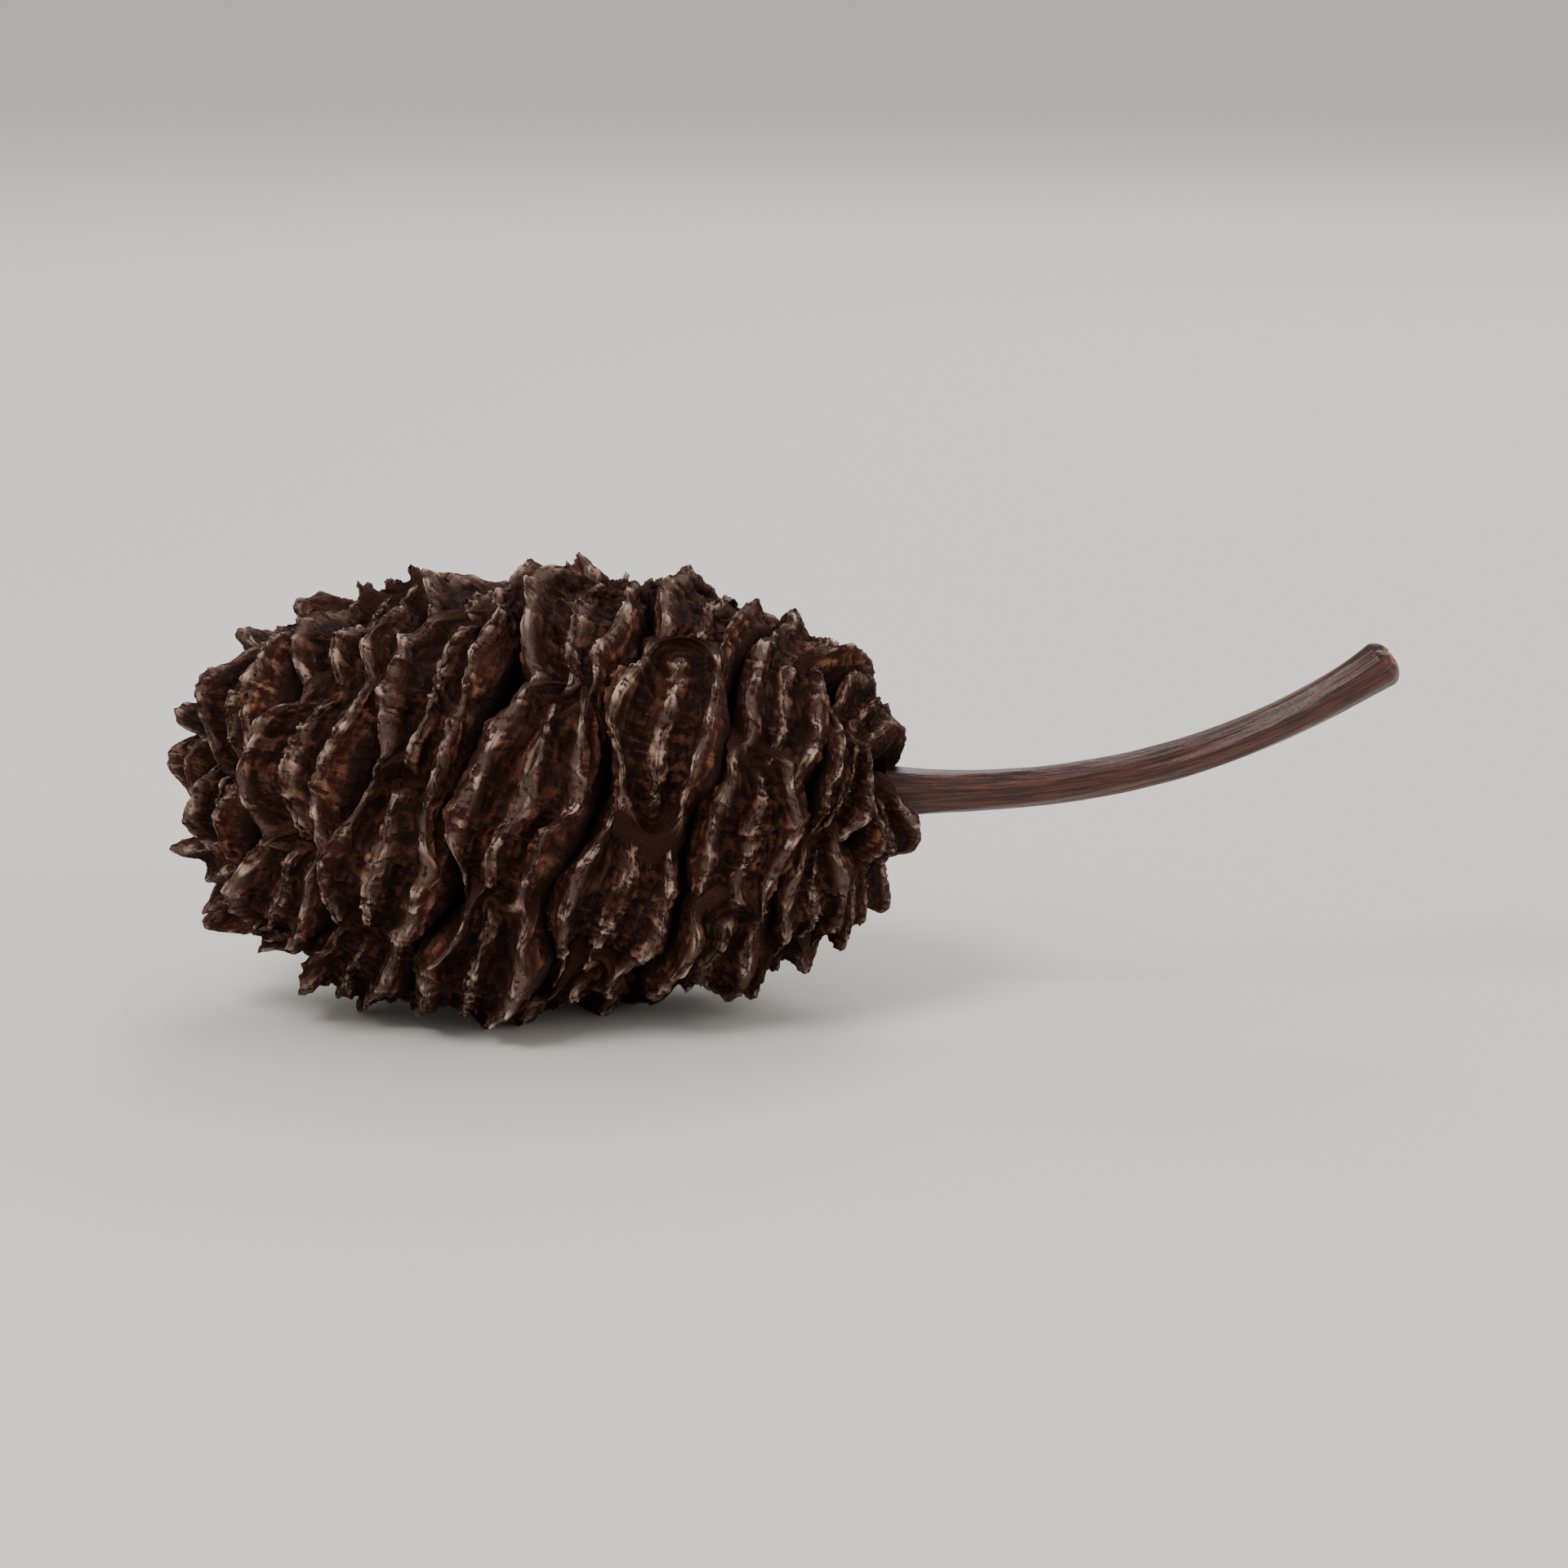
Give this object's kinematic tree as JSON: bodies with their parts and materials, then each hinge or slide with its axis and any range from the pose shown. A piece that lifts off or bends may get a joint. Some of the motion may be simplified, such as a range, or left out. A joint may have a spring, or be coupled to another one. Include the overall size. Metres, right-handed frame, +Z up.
{
  "type": "alder cone",
  "caption": "Closed woody fruit cone with overlapping two-lipped scales in spiral rows and a slender curved stalk, lying on its side.",
  "frame": {"origin": "on the ground under the middle of the whole part, cone and stalk together", "axes": "+X along the cone's axis from the tip towards the end of the stalk, +Z up from the ground the cone lies on"},
  "size_m": [0.03, 0.012, 0.0112],
  "materials": {
    "cone_head": "dry woody scales, dark brown, dull",
    "stalk": "dry reddish brown stem, ridged lengthwise, slightly silky"
  },
  "bodies": {
    "root": {"cone_head": "cone_head", "stalk": "stalk"}
  },
  "joints": []
}
